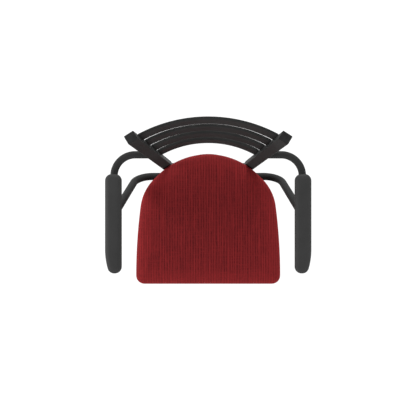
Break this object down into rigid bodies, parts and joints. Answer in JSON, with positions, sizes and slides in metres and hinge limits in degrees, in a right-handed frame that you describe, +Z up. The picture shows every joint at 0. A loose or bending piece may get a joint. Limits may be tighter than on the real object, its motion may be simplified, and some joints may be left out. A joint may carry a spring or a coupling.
{
  "type": "swivel bar stool",
  "caption": "Bar stool whose crowned fabric seat, curved slat back and padded arms turn together on a ball-bearing swivel above splayed square legs with a round footrest.",
  "frame": {"origin": "on the floor, under the swivel axis, at the middle of the object's plan", "axes": "+Z up along the swivel axis, the seat faces -Y, +X to the right as seen from the front, which is how left and right are meant in the names"},
  "size_m": [0.603, 0.4928, 1.1527],
  "materials": {
    "frame_paint": "satin charcoal powder coat",
    "black_nylon": "matte",
    "zinc_steel": "zinc plated",
    "ball_steel": "polished",
    "seat_fabric": "woven, thin streaks from front to back",
    "plywood": "raw plywood",
    "dust_cloth": "thin non-woven cloth",
    "arm_pad_skin": "moulded satin skin"
  },
  "bodies": {
    "base": {"leg_front_left": "frame_paint", "leg_front_right": "frame_paint", "leg_rear_left": "frame_paint", "leg_rear_right": "frame_paint", "glide_front_left": "black_nylon", "glide_front_right": "black_nylon", "glide_rear_left": "black_nylon", "glide_rear_right": "black_nylon", "base_top_plate": "frame_paint", "footrest_ring": "frame_paint", "swivel_lower_plate": "zinc_steel", "swivel_centre_rivet": "zinc_steel", "base_bolts": "zinc_steel", "base_nuts": "zinc_steel"},
    "ball_ring": {"swivel_ball_cage": "black_nylon", "swivel_balls": "ball_steel"},
    "seat": {"seat_hub_plate": "frame_paint", "seat_spoke_front_left": "frame_paint", "seat_spoke_front_right": "frame_paint", "seat_spoke_rear_left": "frame_paint", "seat_spoke_rear_right": "frame_paint", "upright_left": "frame_paint", "upright_right": "frame_paint", "back_slat_bottom": "frame_paint", "back_slat_lower": "frame_paint", "back_slat_upper": "frame_paint", "back_slat_top": "frame_paint", "arm_tube_left": "frame_paint", "arm_tube_right": "frame_paint", "arm_strut_left": "frame_paint", "arm_strut_right": "frame_paint", "upright_cap_left": "black_nylon", "upright_cap_right": "black_nylon", "spoke_end_plugs": "black_nylon", "arm_tube_plugs": "black_nylon", "swivel_washer": "black_nylon", "swivel_upper_plate": "zinc_steel", "hub_bolts": "zinc_steel", "hub_nuts": "zinc_steel", "seat_screws": "zinc_steel", "arm_pad_screws": "zinc_steel", "seat_cushion": "seat_fabric", "seat_board": "plywood", "seat_dust_cover": "dust_cloth", "arm_pad_left": "arm_pad_skin", "arm_pad_right": "arm_pad_skin"}
  },
  "joints": [
    {"name": "seat_swivel", "type": "hinge", "parent": "base", "child": "seat", "pos_m": [0, 0, 0.6656], "axis": [0, 0, 1], "continuous": true},
    {"name": "ball_ring_roll", "type": "hinge", "parent": "base", "child": "ball_ring", "pos_m": [0, 0, 0.6656], "axis": [0, 0, 1], "continuous": true}
  ],
  "couplings": [
    {"joint": "ball_ring_roll", "follows": "seat_swivel", "ratio": 0.5}
  ]
}
